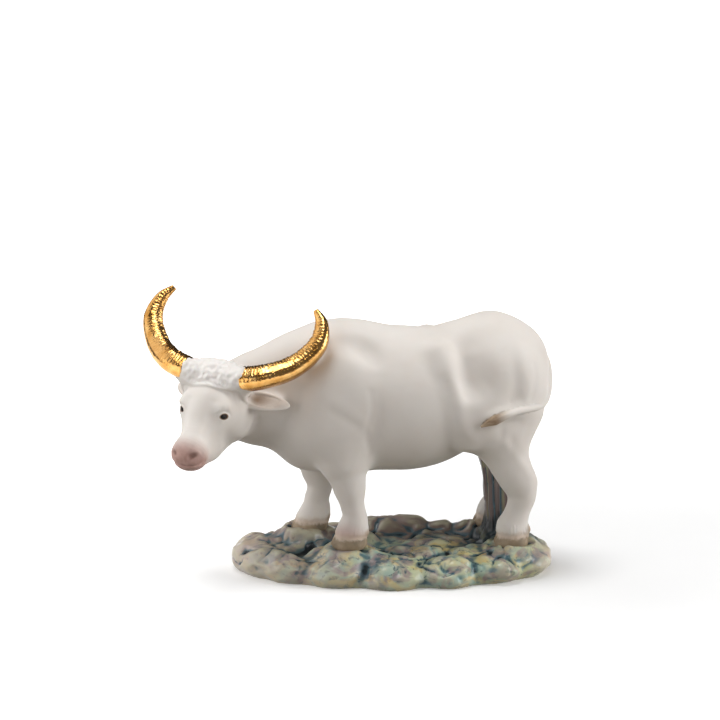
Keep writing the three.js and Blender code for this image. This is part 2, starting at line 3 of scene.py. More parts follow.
import bmesh
import bpy
import numpy as np
from mathutils import Euler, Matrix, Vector, noise


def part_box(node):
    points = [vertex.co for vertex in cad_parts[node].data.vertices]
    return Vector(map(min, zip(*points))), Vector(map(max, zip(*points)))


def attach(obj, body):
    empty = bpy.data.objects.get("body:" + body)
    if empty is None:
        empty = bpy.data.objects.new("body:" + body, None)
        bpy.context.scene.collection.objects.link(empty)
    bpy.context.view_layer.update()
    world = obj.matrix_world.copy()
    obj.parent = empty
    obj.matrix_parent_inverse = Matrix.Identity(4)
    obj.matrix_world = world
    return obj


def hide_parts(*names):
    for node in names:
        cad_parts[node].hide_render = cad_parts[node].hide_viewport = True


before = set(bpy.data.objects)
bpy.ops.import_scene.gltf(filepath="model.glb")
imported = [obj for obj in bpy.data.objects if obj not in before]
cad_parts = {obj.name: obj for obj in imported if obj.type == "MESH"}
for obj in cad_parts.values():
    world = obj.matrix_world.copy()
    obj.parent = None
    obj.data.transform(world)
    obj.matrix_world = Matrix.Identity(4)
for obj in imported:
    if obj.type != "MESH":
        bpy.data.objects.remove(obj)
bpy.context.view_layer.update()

# A matte white porcelain water buffalo with gilded crescent horns, standing on glazed rocks.
# Measures are millimetres in the row frame until a mesh is saved.

MM = 0.001
OX_PITCH, ROCK_PITCH = 0.84, 0.6
BODY_ROUNDS, HEAD_ROUNDS, SPLIT_ROUNDS, ROCK_ROUNDS = 21, 6, 3, 14
TAIL_WEAR, HORN_WEAR, HIP_WEAR = 43, 28, 16
BISQUE, GOLD = 0, 1

# The camera, at the photograph's angle
VIEW_CENTRE = (-10.15, 0, 66.8)
VIEW_BEARING, VIEW_RISE = math.radians(-10), math.radians(14)
VIEW_DISTANCE_M = 3
LENS, SENSOR_WIDTH = 487.5, 36

# The lights, in metres and watts
LIT_SPOT = (0, 0, 0.05)
SOFTBOXES = {
    # the place of its middle, its width and its power
    "top_light": ((-0.15, 0.1, 1.25), 0.5, 7.2),
    "left_light": ((-1.05, -0.25, 0.32), 1.1, 7),
    "right_light": ((0.95, -0.35, 0.35), 0.7, 8.4),
    "back_light": ((-0.6, 0.5, 0.6), 0.8, 2.6),
    "spark_light": ((-0.4, -0.9, 1.05), 0.08, 0.4),
}

# The head's own frame: to the muzzle, to the ox's left, out of the forehead
HEAD_CENTRE = (-61.5, -14, 55.7)
HEAD_AXES = Euler([math.radians(a) for a in (-3, 36, 234)], "XYZ").to_matrix()

# Where the legs stand, with the heights of their coronets and soles
CORONETS = {
    (-15.7, -11.5): 14.9,
    (-24, 11.5): 14.4,
    (35, -11.5): 13,
    (33, 11.5): 13.4,
}
SOLES = {(-15.7, -11.5): 11, (-24, 11.5): 11.2, (35, -11.5): 9, (33, 11.5): 10.2}
DEWCLAWS = [(-10.8, -11.5, 15.4), (-18.7, 11.5, 14.9), (40, -11.5, 14), (38.6, 11.5, 13.8)]
HOOF_REACH, LEG_REACH, FAR_ABOVE = 4.5, 9, 8

# The tail's joints with their radii, and along X where its tip begins and ends to darken
TAIL_LINE = [
    (43, 0, 71.5, 1.8),
    (47.6, -0.6, 64, 1.75),
    (48.1, -2.8, 56.6, 1.5),
    (45.2, -10, 53.2, 1.3),
    (40.4, -15.8, 53.2, 1.15),
    (34.8, -19.1, 53, 1.05),
    (31.5, -20, 52.2, 1.25),
    (28.2, -20.2, 50.9, 1.45),
    (24, -20, 49.1, 0.3),
]
TUFT_START, TUFT_END = 34, 28

# The head's features, in its own frame
POLL_ENDS = [(-12.2, -5, 0.9), (-12.2, 5, 0.9)]
EYES = {
    # the middle of the opening, the way it looks, half its width and half its height
    1: ((0.2, 7.5, 0.2), (0.1, 0.85, 0.5), 1.3, 0.74),
    -1: ((0.9, -5.7, 1.4), (0.15, -0.8, 0.6), 0.8, 0.66),
}
NOSTRILS, NOSTRIL_SPREAD = (18.3, 0.7, 0.3), 3
MOUTH_LINE = [
    (13.2, 6.6, -5), (15.3, 6, -4.2), (17.4, 4.6, -3.2), (18.9, 2.8, -2.5), (19.4, 0.7, -2.3),
    (18.9, -1.4, -2.5), (18.3, -2.6, -2.8), (17.3, -3.8, -3.4), (13.2, -5.4, -4.6),
]
EARS = {
    # root and tip
    "near_ear": ((-10.8, 7.5, -4), (-12.7, 22.4, -6.4)),
    "far_ear": ((-12, -7, -5.5), (-16.4, -16.6, -8.8)),
}
EAR_HALF_WIDTH, EAR_HALF_DEPTH, EAR_HOLLOW_DEPTH, EAR_CURVE = 3.2, 1.35, 1.7, 0.07
HORN_LINE = [
    # joints with their radii
    (-11.5, 6.5, 4.4, 3.6),
    (-14.6, 15.3, 4.2, 3.5),
    (-21.9, 23.2, 2.6, 3.2),
    (-31, 28.2, 3.7, 2.7),
    (-37.5, 27.4, 5.6, 1.8),
    (-41.3, 24.4, 6.9, 0.7),
]
HORNS = {
    # side, droop, inward pull, lift, where the gilding starts, seed of its crinkles
    "near_horn": (1, 1.1, 1.1, 3.4, 9.7, 3.7),
    "far_horn": (-1, 0, 0, 0, 8.6, 11.2),
}
HORN_RINGS, HORN_SIDES = 300, 40
HORN_RIDGE = math.radians(30)
RIB_PITCH = 1.05


def fade(value, none, full):
    """0 at none, 1 at full, with a soft start and end."""
    t = np.clip((np.asarray(value, float) - none) / (full - none), 0, 1)
    return t * t * (3 - 2 * t)


def in_head(points):
    """Points in the head's own frame: to the muzzle, to the ox's left, out of the forehead."""
    return (points - np.array(HEAD_CENTRE)) @ np.array(HEAD_AXES)


def from_line(points, line):
    """The distance of each point from a line of joints, and how far along it the nearest is."""
    best = np.full(len(points), np.inf)
    place = np.zeros(len(points))
    line = np.array(line, float)
    for step, (start, end) in enumerate(zip(line, line[1:])):
        along = end - start
        t = np.clip((points - start) @ along / (along @ along), 0, 1)
        gap = np.linalg.norm(points - start - t[:, None] * along, axis=1)
        near = gap < best
        best[near] = gap[near]
        place[near] = step + t[near]
    return best, place / (len(line) - 1)


def from_middle(points, centre, half_widths):
    """How far each point is from a centre, where 1 is on the ellipsoid of those half widths."""
    return np.linalg.norm((points - np.array(centre)) / np.array(half_widths), axis=1)


def rough(points, pitch, seed=0.0):
    """Smooth noise from -1 to 1 with features about pitch wide."""
    scaled = points / pitch + seed
    return np.array([noise.noise(Vector(p)) for p in scaled.tolist()])


class Surface:
    """The points of a mesh, moved in millimetres and saved back in metres."""

    def __init__(self, mesh):
        self.mesh = mesh
        self.points = self.read(mesh.vertices, "co") / MM
        ends = np.empty(len(mesh.edges) * 2, np.int32)
        mesh.edges.foreach_get("vertices", ends)
        self.ends = ends.reshape(-1, 2)
        self.neighbours = np.maximum(np.bincount(ends, minlength=len(self.points)), 1)

    @staticmethod
    def read(source, name):
        flat = np.empty(len(source) * 3, np.float32)
        source.foreach_get(name, flat)
        return flat.reshape(-1, 3).astype(float)

    def save(self):
        self.mesh.vertices.foreach_set("co", (self.points * MM).astype(np.float32).ravel())
        self.mesh.update()

    def outward(self):
        self.save()
        return self.read(self.mesh.vertex_normals, "vector")

    def push(self, amount):
        """Moves each point out of the surface by its amount."""
        self.points += self.outward() * np.asarray(amount)[:, None]

    def around(self, values):
        """The mean of each point's neighbours."""
        a, b = self.ends.T
        count = len(self.points)
        total = np.stack([
            np.bincount(a, column[b], count) + np.bincount(b, column[a], count)
            for column in values.T
        ], axis=1)
        return total / self.neighbours[:, None]

    def settle(self, rounds, share):
        """Takes out bumps that are a few points wide, and keeps the size of larger forms."""
        share = np.asarray(share, float).reshape(-1, 1)
        for _ in range(rounds):
            for factor in (0.5, -0.53):
                self.points += factor * share * (self.around(self.points) - self.points)

    def stroke(self, space, line, width, height):
        """A soft ridge along a line, or a furrow where its height is below zero."""
        gap, _ = from_line(space, line)
        self.push(height * np.exp(-(gap / width) ** 2))

    def paint(self, name, values):
        layer = self.mesh.attributes.new(name, "FLOAT", "POINT")
        layer.data.foreach_set("value", np.asarray(values, np.float32))


def even_skin(node, name, pitch):
    """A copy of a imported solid's mesh, skinned again with even faces."""
    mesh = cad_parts[node].data.copy()
    mesh.name = name
    shell = bmesh.new()
    shell.from_mesh(mesh)
    bmesh.ops.remove_doubles(shell, verts=shell.verts, dist=0.001 * MM)
    shell.to_mesh(mesh)
    shell.free()
    piece = bpy.data.objects.new(name, mesh)
    bpy.context.collection.objects.link(piece)
    remesh = piece.modifiers.new("even faces", "REMESH")
    remesh.mode = "VOXEL"
    remesh.voxel_size = pitch * MM
    apply_modifiers(piece)
    piece.data.materials.clear()
    return piece


def apply_modifiers(piece):
    bpy.context.view_layer.update()
    depsgraph = bpy.context.evaluated_depsgraph_get()
    finished = bpy.data.meshes.new_from_object(piece.evaluated_get(depsgraph))
    finished.name = piece.name
    piece.modifiers.clear()
    piece.data = finished


def split_faces(mesh, wanted):
    """Halves the edges of the faces that lie where wanted(points) is true."""
    shell = bmesh.new()
    shell.from_mesh(mesh)
    shell.verts.ensure_lookup_table()
    chosen = wanted(np.array([v.co[:] for v in shell.verts]) / MM)
    edges = [e for e in shell.edges if all(chosen[v.index] for v in e.verts)]
    bmesh.ops.subdivide_edges(shell, edges=edges, cuts=1, use_grid_fill=True)
    shell.to_mesh(mesh)
    shell.free()


def smooth_shade(mesh):
    mesh.polygons.foreach_set("use_smooth", [True] * len(mesh.polygons))
    mesh.update()


# The ox's body

HIP_HOLLOW, HIP_HOLLOW_REACH = (24, 16, 62), (8, 7, 8)
BODY_STROKES = [
    # joints (x, distance from the middle plane, z), width, height
    # furrows between the muscles
    ([(23, 10, 73), (21.4, 12.8, 68.6)], 2.4, -0.14),
    ([(13.2, 17.5, 63.8), (15.5, 19, 55.2), (16.5, 18.4, 48), (20.7, 17.8, 43.9)], 1.6, -0.2),
    ([(25.1, 14, 69.3), (24.8, 15.6, 63.7), (27.5, 17.7, 60.4)], 1.3, -0.12),
    ([(34.7, 14.2, 70.9), (34.9, 16.9, 61.7), (33.2, 17.6, 55)], 2.4, -0.2),
    ([(41.8, 13.3, 66.5), (42.2, 14.5, 61.8), (40.3, 16.3, 56.3)], 1, -0.18),
    ([(30.9, 18.3, 48.9), (30.9, 18.5, 44.2)], 1.2, -0.2),
    ([(34.2, 17.7, 43.9), (34.7, 16.9, 38.9)], 1.8, -0.3),
    ([(-10.2, 17.7, 61.1), (-9.6, 18.3, 56.1), (-11.4, 17.9, 49.2), (-9.8, 15.5, 41.5)], 1, -0.22),
    ([(-14, 12.5, 74), (-9, 14.9, 69.3)], 2.8, -0.1),
    ([(-22.3, 17.7, 55.6), (-13.7, 18.4, 50.3), (-11.3, 16.9, 45.1)], 1.4, -0.2),
    ([(-31.2, 13.4, 58.4), (-28.5, 16, 49.4), (-25.4, 16.1, 43)], 2.8, -0.25),
    ([(22, 12, 72), (20.8, 14.5, 67), (21.4, 16.2, 62.5)], 3.2, -0.16),
    ([(20.8, 17.5, 57.8), (24, 16.8, 57.6)], 2.6, -0.2),
    # ridges over the muscles
    ([(23.2, 15.5, 65), (23, 15.7, 63.5)], 2, 0.15),
    ([(-17.3, 13.5, 75), (-13, 14.7, 71)], 3, 0.3),
    ([(16.8, 8.5, 74), (14, 15.2, 69.4), (13.7, 17.9, 62.9), (15.8, 18.9, 57.9)], 3, 0.2),
    ([(17.6, 19.3, 56), (18.4, 18.4, 48), (21.5, 17.7, 44)], 2, 0.25),
    ([(29.3, 15, 70.6), (29.6, 17.3, 63), (30.3, 18.2, 56.3)], 2.4, 0.15),
    ([(38, 13.2, 70.5), (39.3, 16.5, 56.4)], 1.7, 0.2),
    ([(32.5, 18.1, 42.5), (37.1, 15.6, 36.2), (41, 14.8, 31.1)], 1.5, 0.35),
    ([(-20.7, 14, 70.4), (-11.4, 17.8, 61.1)], 3, 0.1),
    ([(-24, 17.5, 60), (-16, 18.6, 54.6), (-12.6, 18.2, 51)], 2.2, 0.18),
]


def sculpt_muscles(skin):
    paired = skin.points * (1, 0, 1) + np.abs(skin.points) * (0, 1, 0)
    hip = fade(from_middle(paired, HIP_HOLLOW, HIP_HOLLOW_REACH), 1, 0.5)
    wear_down(skin, hip, HIP_WEAR)
    for line, width, height in BODY_STROKES:
        skin.stroke(paired, line, width, height)


def hoof_place(points):
    """Each point over its coronet, across its hoof, ahead of its leg and over its sole."""
    best = np.full(len(points), np.inf)
    above, across, ahead, over_sole = (np.full(len(points), 99.0) for _ in range(4))
    for (x, y), coronet in CORONETS.items():
        gap = np.hypot(points[:, 0] - x, points[:, 1] - y)
        near = gap < best
        best[near] = gap[near]
        above[near] = points[near, 2] - coronet
        across[near] = points[near, 1] - y
        ahead[near] = x - points[near, 0]
        over_sole[near] = points[near, 2] - SOLES[x, y]
    above[(best > LEG_REACH) | (above > FAR_ABOVE)] = FAR_ABOVE
    return above, across, ahead, over_sole


def sculpt_hooves(skin):
    above, across, ahead, over_sole = hoof_place(skin.points)
    tufts = 0.6 * rough(skin.points * (1, 1, 0), 1.3, 4.2)
    skin.push(
        0.2 * fade(above, -0.2 + tufts, 0.5 + tufts) * fade(above, 3.2, 0.6)
        - 0.9 * np.exp(-(across / 0.8) ** 2) * fade(ahead, 0.5, 3) * fade(above, 0.4, -1.2)
    )
    hair = np.sin(np.arctan2(across, ahead) * 34 + 4 * rough(skin.points, 2.5, 9.1))
    skin.push(0.07 * hair * fade(above, -0.4, 0.6) * fade(above, 5, 2))
    skin.points[:, 2] -= 0.9 * fade(over_sole, 1.2, 0) * (above < 2)


def wear_down(skin, share, rounds):
    """Thins a limb of the solid, which a finer one then covers."""
    share = (0.5 * share)[:, None]
    for _ in range(rounds):
        skin.points += share * (skin.around(skin.points) - skin.points)


def wear_down_tail_and_horns(skin):
    gap, _ = from_line(skin.points, [joint[:3] for joint in TAIL_LINE])
    wear_down(skin, fade(gap, 3.6, 2.4) * fade(skin.points[:, 2], 68, 64), TAIL_WEAR)
    local = in_head(skin.points)
    for side, droop, pull, lift, start, _ in HORNS.values():
        path = smooth_path(horn_joints(side, droop, pull, lift), 30)
        gap, _ = from_line(local, [place for place, _ in path])
        beyond = fade(side * local[:, 1], start + 0.2, start + 1.2)
        wear_down(skin, fade(gap, 5.8, 4.8) * beyond, HORN_WEAR)


# The ox's head

NOSE_RIDGE = [(-4.6, 1.2, 5.4), (5, -0.4, 3), (11.8, -0.2, 2.6)]
FACE_STROKES = [
    # joints on either side of the head, width, height
    ([(-1.5, 4.2, 4), (4, 4.4, 1.6), (9, 4.2, 0.6)], 1.6, -0.35),
    ([(-8.5, 9.4, -1.8), (-6.2, 9.2, -4.1), (-4, 7.6, -7)], 2.2, 0.25),
    ([(-2.6, 9.2, -11.5), (-5, 10.2, -10.5), (-7, 10.9, -9)], 1.9, 0.5),
    ([(-4.6, 9.7, -13.3), (-7.5, 10.8, -12.6), (-9.6, 11.4, -11)], 1.4, -0.6),
]


def fringe_edge(across):
    """Where the poll's curls end on the forehead."""
    return -5.9 - 0.024 * across ** 2


def cap_share(local):
    gap, _ = from_line(local, POLL_ENDS)
    below = fringe_edge(local[:, 1]) - local[:, 0]
    return fade(below, -0.1, 0.3) * fade(gap, 8.6, 7.4)


def sculpt_poll(skin):
    local = in_head(skin.points)
    share = cap_share(local)
    below = fringe_edge(local[:, 1]) - local[:, 0]
    skin.push(share * (0.4 + 0.22 * np.exp(-((below - 0.6) / 0.5) ** 2)))
    near = share > 0
    places = local[near]
    tufts = rough(places, 1.3, 2.3)
    curls = 1 - np.abs(rough(places, 1.8, 6.1)) * 3
    height = np.zeros(len(local))
    height[near] = 0.4 * tufts + 0.2 * np.maximum(curls, -0.5)
    skin.push(share * fade(below, 0.5, 1.5) * height)


def eye_gap(local, side):
    """How far each point is from an eye's middle, where 1 is the edge of its opening."""
    centre, outward, half_width, half_height = EYES[side]
    outward = np.array(outward) / np.linalg.norm(outward)
    level = np.array((-0.63, 0.466 * side, -0.622))
    level -= outward * (level @ outward)
    level /= np.linalg.norm(level)
    offset = local - np.array(centre)
    across = offset @ np.cross(outward, level)
    return np.sqrt(
        (offset @ level / half_width) ** 2
        + (across / half_height) ** 2
        + (offset @ outward / 2.6) ** 2
    ), across * side


def sculpt_eyes(skin):
    for side in (1, -1):
        local = in_head(skin.points)
        gap, across = eye_gap(local, side)
        upper = fade(across, -0.6, 0.6)
        skin.push(
            0.12 * np.exp(-((gap - 1.35) / 0.28) ** 2) * (0.4 + 0.6 * upper)
            - 0.16 * np.exp(-((gap - 0.98) / 0.2) ** 2)
            - 0.14 * np.exp(-((gap - 2.1) / 0.45) ** 2) * upper
            + 0.16 * fade(gap, 0.9, 0.2)
        )


def nostril_gap(local, side):
    slanted = local.copy()
    slanted[:, 0] += 0.5 * np.abs(local[:, 1] - NOSTRILS[1])
    along, middle, out = NOSTRILS
    return from_middle(slanted, (along, middle + NOSTRIL_SPREAD * side, out), (0.8, 1.3, 1.05))


def sculpt_muzzle(skin):
    local = in_head(skin.points)
    for side in (1, -1):
        rim = nostril_gap(local, side)
        skin.push(0.07 * np.exp(-((rim - 1.5) / 0.5) ** 2) - 0.48 * fade(rim, 1.3, 0))
    skin.stroke(local, MOUTH_LINE, 0.42, -0.8)
    skin.stroke(local, [(19.4, 0.7, -2), (19.4, 0.7, -0.4)], 0.35, -0.14)
    wrinkles = np.sin(local[:, 0] * 5 + 2 * rough(local, 2, 8.8))
    skin.push(0.03 * wrinkles * fade(local[:, 0], 11, 13) * fade(local[:, 0], 17, 15))


def ear_frame(root, tip):
    """An ear's length and axes, as rows: to its tip, across the leaf, out of its hollow."""
    root, tip = Vector(root), Vector(tip)
    length = (tip - root).length
    out = (tip - root).normalized()
    wide = (Vector((1, 0, -0.25)) - out * out.x).normalized()
    hollow_side = out.cross(wide)
    return length, np.array([out, wide, hollow_side * math.copysign(1, hollow_side.z)])


def ear_hollow(points):
    """1 deep in an ear's hollow, 0 outside it."""
    share = np.zeros(len(points))
    local = in_head(points)
    for root, tip in EARS.values():
        length, axes = ear_frame(root, tip)
        along, across, through = ((local - np.array(root)) @ axes.T).T
        inside = np.hypot((along - 0.46 * length) / (0.33 * length), across / 2.3)
        facing = fade(through - EAR_CURVE * across ** 2, -1, -0.6)
        deep = fade(inside, 1.05, 0.3) * facing * fade(along, 0.8 * length, 0.25 * length)
        share = np.maximum(share, deep * (np.abs(through) < 3))
    return share


def ear_leaf(name, root, tip):
    """A cupped leaf with its hollow turned out of the forehead."""
    length, axes = ear_frame(root, tip)
    shell = bmesh.new()
    bmesh.ops.create_uvsphere(shell, u_segments=56, v_segments=40, radius=1)
    for vertex in shell.verts:
        x, y, z = vertex.co
        along = length * (0.33 + (0.7 if z > 0 else 0.42) * z)
        across = EAR_HALF_WIDTH * x * (1 - 0.12 * max(z, 0) ** 2)
        inside = math.hypot((along - 0.5 * length) / (0.38 * length), across / 2.3)
        hollow = EAR_HOLLOW_DEPTH * max(1 - inside ** 2, 0) if y > 0 else 0
        through = EAR_HALF_DEPTH * y - hollow + EAR_CURVE * across ** 2
        place = np.array(root) + np.array((along, across, through)) @ axes
        vertex.co = (HEAD_AXES @ Vector(place) + Vector(HEAD_CENTRE)) * MM
    return closed_piece(name, shell, BISQUE)


def sculpt_head(skin):
    local = in_head(skin.points)
    skin.stroke(local, NOSE_RIDGE, 2.6, 0.3)
    for side in (1, -1):
        for line, width, height in FACE_STROKES:
            skin.stroke(local * (1, side, 1), line, width, height)
    sculpt_eyes(skin)
    sculpt_muzzle(skin)
    sculpt_poll(skin)


def on_head(points):
    """1 on the head, fading to 0 on the neck."""
    return fade(from_middle(in_head(points), (-2, 0, -3), (24, 15, 14)), 1.15, 0.9)


def around_head(points):
    return from_middle(in_head(points), (2, 0, -3), (24, 13.5, 12)) < 1


def fine_spots(points):
    local = in_head(points)
    paired = np.abs(local) * (0, 1, 0) + local * (1, 0, 1)
    eyes = from_middle(paired, (0.2, 7, 0.3), (3.4, 2.6, 3))
    muzzle = from_middle(local, (18, 0.6, -1.8), (4, 7, 4.2))
    return (eyes < 1) | (muzzle < 1) | (cap_share(local) > 0.3)


# The horns

def smooth_path(joints, steps):
    """Joints resampled on a smooth curve, each with its radius."""
    places = [Vector(j[:3]) for j in joints]
    places = [places[0] * 2 - places[1], *places, places[-1] * 2 - places[-2]]
    path = []
    for i in range(steps + 1):
        spot = i / steps * (len(joints) - 1)
        low = min(int(spot), len(joints) - 2)
        a, b, c, d = places[low:low + 4]
        knots = [0.0]
        for start, end in ((a, b), (b, c), (c, d)):
            knots.append(knots[-1] + math.sqrt((end - start).length))
        t = knots[1] + (spot - low) * (knots[2] - knots[1])

        def blend(first, second, i, j):
            return (first * (knots[j] - t) + second * (t - knots[i])) / (knots[j] - knots[i])

        ab, bc, cd = blend(a, b, 0, 1), blend(b, c, 1, 2), blend(c, d, 2, 3)
        place = blend(blend(ab, bc, 0, 2), blend(bc, cd, 1, 3), 1, 2)
        radius = joints[low][3] + (joints[low + 1][3] - joints[low][3]) * (spot - low)
        path.append((np.array(place), radius))
    return path


def horn_joints(side, droop, pull, lift):
    """A horn's joints, drooped, pulled in towards the tip and lifted over its first half."""
    joints = []
    for i, (x, y, z, radius) in enumerate(HORN_LINE):
        along = i / (len(HORN_LINE) - 1)
        rise = lift * min(1, 1.9 * along)
        across = side * (y - pull * along + 0.4 * rise)
        joints.append((x + 0.56 * rise, across, z - droop + 0.73 * rise, radius))
    return joints


def closed_piece(name, shell, finish):
    """A mesh object from a shell whose faces are closed up and turned outwards."""
    bmesh.ops.remove_doubles(shell, verts=shell.verts, dist=1e-6)
    open_edges = [e for e in shell.edges if e.is_boundary]
    if open_edges:
        bmesh.ops.holes_fill(shell, edges=open_edges, sides=0)
    bmesh.ops.recalc_face_normals(shell, faces=shell.faces)
    for face in shell.faces:
        face.material_index = finish
    mesh = bpy.data.meshes.new(name)
    shell.to_mesh(mesh)
    shell.free()
    piece = bpy.data.objects.new(name, mesh)
    bpy.context.collection.objects.link(piece)
    return piece


def tube(name, path, front, around, reach, finish, placed=lambda spot: spot):
    """A closed tube along a path. reach gives its radius at a turn from the inner side."""
    rings = len(path) - 1
    stations = []
    travelled = 0.0
    front = np.array(front, float)
    for i, (place, radius) in enumerate(path):
        tangent = path[min(i + 1, rings)][0] - path[max(i - 1, 0)][0]
        travelled += np.linalg.norm(place - path[max(i - 1, 0)][0])
        tangent = tangent / np.linalg.norm(tangent)
        front = front - tangent * (front @ tangent)
        front /= np.linalg.norm(front)
        stations.append((place, radius, np.cross(front, tangent), front, travelled))
    shell = bmesh.new()
    bmesh.ops.create_grid(shell, x_segments=rings, y_segments=around, size=1)
    for vertex in shell.verts:
        i = round((vertex.co.x + 1) / 2 * rings)
        turn = round((vertex.co.y + 1) / 2 * around) % around / around * math.tau
        place, radius, inner, outer, s = stations[i]
        out = inner * math.cos(turn) + outer * math.sin(turn)
        spot = place + out * reach(turn, s, travelled, radius)
        vertex.co = placed(Vector(spot)) * MM
    return closed_piece(name, shell, finish)


def gilded_horn(name, side, droop, pull, lift, gold_start, seed):
    """A crescent with crinkled ribs across its inner face and its front ridge."""
    def reach(turn, s, length, radius):
        turn = turn if side > 0 else math.pi - turn
        ring = Vector((2.2 * math.cos(turn), 2.2 * math.sin(turn), s * 0.8)) + Vector((seed,) * 3)
        off_ridge = (turn - HORN_RIDGE + math.pi) % math.tau - math.pi
        crest = math.exp(-(off_ridge / 0.5) ** 2)
        inner_face = float(fade(math.cos(turn + 0.6), 0.1, 0.8))
        ribbed = max(crest, 0.7 * inner_face) * float(fade(s, length, length - 7))
        jitter = 0.5 * noise.noise(ring) + 0.35 * noise.noise(ring * 2.9)
        rib = abs(math.sin(math.pi * (s / RIB_PITCH + jitter))) ** 0.7 - 0.6
        rib *= 0.8 + 0.9 * noise.noise(ring * 0.9)
        fine = noise.noise(Vector((ring.x * 2.2, ring.y * 2.2, s * 3.6 + seed)))
        section = 1.02 + 0.09 * math.cos(3 * (turn - HORN_RIDGE))
        out = radius * section + 0.16 + (0.07 + 0.5 * ribbed) * rib + 0.32 * ribbed * fine
        return max(out, 0.12)

    path = smooth_path(horn_joints(side, droop, pull, lift), HORN_RINGS)
    path = [spot for spot in path if abs(spot[0][1]) > gold_start]
    return tube(
        name, path, (0, 0, 1), HORN_SIDES, reach, GOLD,
        lambda spot: HEAD_AXES @ spot + Vector(HEAD_CENTRE),
    )


def tail_tube():
    """The tail, with strands of hair in its tuft."""
    def reach(turn, s, length, radius):
        hair = fade(s, length - 11, length - 5)
        strands = math.sin(turn * 11 + 3 * noise.noise(Vector((math.cos(turn), s * 0.3, 2))))
        return max(radius + 0.05 * float(hair) * strands * min(radius, 1), 0.1)

    return tube("tail", smooth_path(TAIL_LINE, 150), (0, -1, 0), 40, reach, BISQUE)


def weld(piece, *others):
    """Joins the others onto the piece as one closed shell."""
    for other in others:
        union = piece.modifiers.new("weld", "BOOLEAN")
        union.operation = "UNION"
        union.solver = "MANIFOLD"
        union.object = other
    apply_modifiers(piece)
    for other in others:
        bpy.data.objects.remove(other)


def make_ox(bisque, gold):
    ox = even_skin("ox", "porcelain_ox", OX_PITCH)
    skin = Surface(ox.data)
    head = on_head(skin.points)
    skin.settle(BODY_ROUNDS, 1 - head)
    skin.settle(HEAD_ROUNDS, head)
    wear_down_tail_and_horns(skin)
    sculpt_muscles(skin)
    skin.save()
    split_faces(ox.data, around_head)
    skin = Surface(ox.data)
    skin.settle(SPLIT_ROUNDS, on_head(skin.points))
    skin.save()
    split_faces(ox.data, fine_spots)
    split_faces(ox.data, lambda points: hoof_place(points)[0] < HOOF_REACH)
    skin = Surface(ox.data)
    sculpt_hooves(skin)
    sculpt_head(skin)
    skin.save()
    for material in (bisque, gold):
        ox.data.materials.append(material)
    weld(
        ox,
        *(gilded_horn(name, *HORNS[name]) for name in HORNS),
        *(ear_leaf(name, *EARS[name]) for name in EARS),
        tail_tube(),
    )
    tint_ox(ox.data)
    smooth_shade(ox.data)
    return ox


def tint_ox(mesh):
    """Where each colour of the ox lies, as values for its finish."""
    skin = Surface(mesh)
    points = skin.points
    local = in_head(points)
    eye = np.minimum(eye_gap(local, 1)[0], eye_gap(local, -1)[0])
    skin.paint("eye_distance", np.minimum(eye, 9))
    skin.paint("muzzle", fade(local[:, 0] - 0.25 * local[:, 2], 9.5, 17.5))
    nostril = np.minimum(nostril_gap(local, 1), nostril_gap(local, -1))
    skin.paint("nostril", fade(nostril, 1.4, 0.3))
    skin.paint("ear_hollow", ear_hollow(points))
    skin.paint("curls", cap_share(local))
    skin.paint("above_coronet", hoof_place(points)[0])
    claws = np.min([from_middle(points, (x, y, z), (2, 3.8, 2)) for x, y, z in DEWCLAWS], axis=0)
    skin.paint("dewclaw", fade(claws, 1.1, 0.7))
    path = smooth_path(TAIL_LINE[3:], 40)
    gap, place = from_line(points, [spot for spot, _ in path])
    radius = np.interp(place, np.linspace(0, 1, len(path)), [width for _, width in path])
    on_tail = fade(gap - radius, 0.45, 0.2)
    skin.paint("tuft", fade(points[:, 0], TUFT_START, TUFT_END) * on_tail)


# The rocks and the stump

STUMP_LINE = [(34.2, 0.6, 4), (34.3, 0.6, 13), (32, 0.6, 38)]
STUMP_FOOT_X = 35
STUMP_AXIS = (33.6, 0.6)
BOULDERS = ((-50, -29, 0), (50, 29, 14), 64)
PEBBLES = ((-46, -27, 6), (46, 27, 13), 210)


def make_rocks(glaze):
    rocks = even_skin("rock_base", "glazed_rocks", ROCK_PITCH)
    skin = Surface(rocks.data)
    skin.settle(ROCK_ROUNDS, 1)
    underside = skin.points[:, 2] < 0.25
    stump = stump_share(skin.points)
    raise_stones(skin, stump)
    groove_stump(skin, stump)
    skin.points[underside, 2] = 0
    np.clip(skin.points, *cad_box_of("rock_base"), out=skin.points)
    tint_rocks(skin, stump)
    skin.save()
    smooth_shade(rocks.data)
    rocks.data.materials.append(glaze)
    return rocks


def cad_box_of(node):
    low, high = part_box(node)
    return np.array(low) / MM, np.array(high) / MM


def tint_rocks(skin, stump):
    """Where the rocks' glazes pool and lie thin, and where painted shade lies round the bottom of
    the stump, as values for their finish.
    """
    blurred = skin.points.copy()
    for _ in range(26):
        blurred += 0.5 * (skin.around(blurred) - blurred)
    skin.paint("hollow", np.einsum("ij,ij->i", blurred - skin.points, skin.outward()))
    skin.paint("stump", stump)
    # painted shade: the rocks darkened round the bottom of the stump, where shade falls between the
    # stump and the hind hooves
    gap = np.hypot(skin.points[:, 0] - STUMP_FOOT_X, skin.points[:, 1])
    skin.paint("painted_shade_at_stump_foot", fade(gap, 13, 8) * fade(skin.points[:, 2], 17, 13.5))


def stump_share(points):
    gap, _ = from_line(points, STUMP_LINE)
    return fade(gap, 9, 6.5) * fade(points[:, 2], 9.5, 12.5)


def cells(points, seeds, stretch=(1, 1, 1)):
    """The distances of each point to its nearest and second nearest seed."""
    stretch = np.array(stretch, float)
    best = np.full(len(points), np.inf)
    second = np.full(len(points), np.inf)
    for seed in seeds:
        gap = np.linalg.norm((points - seed) / stretch, axis=1)
        second = np.where(gap < best, best, np.minimum(second, gap))
        best = np.minimum(best, gap)
    return best, second


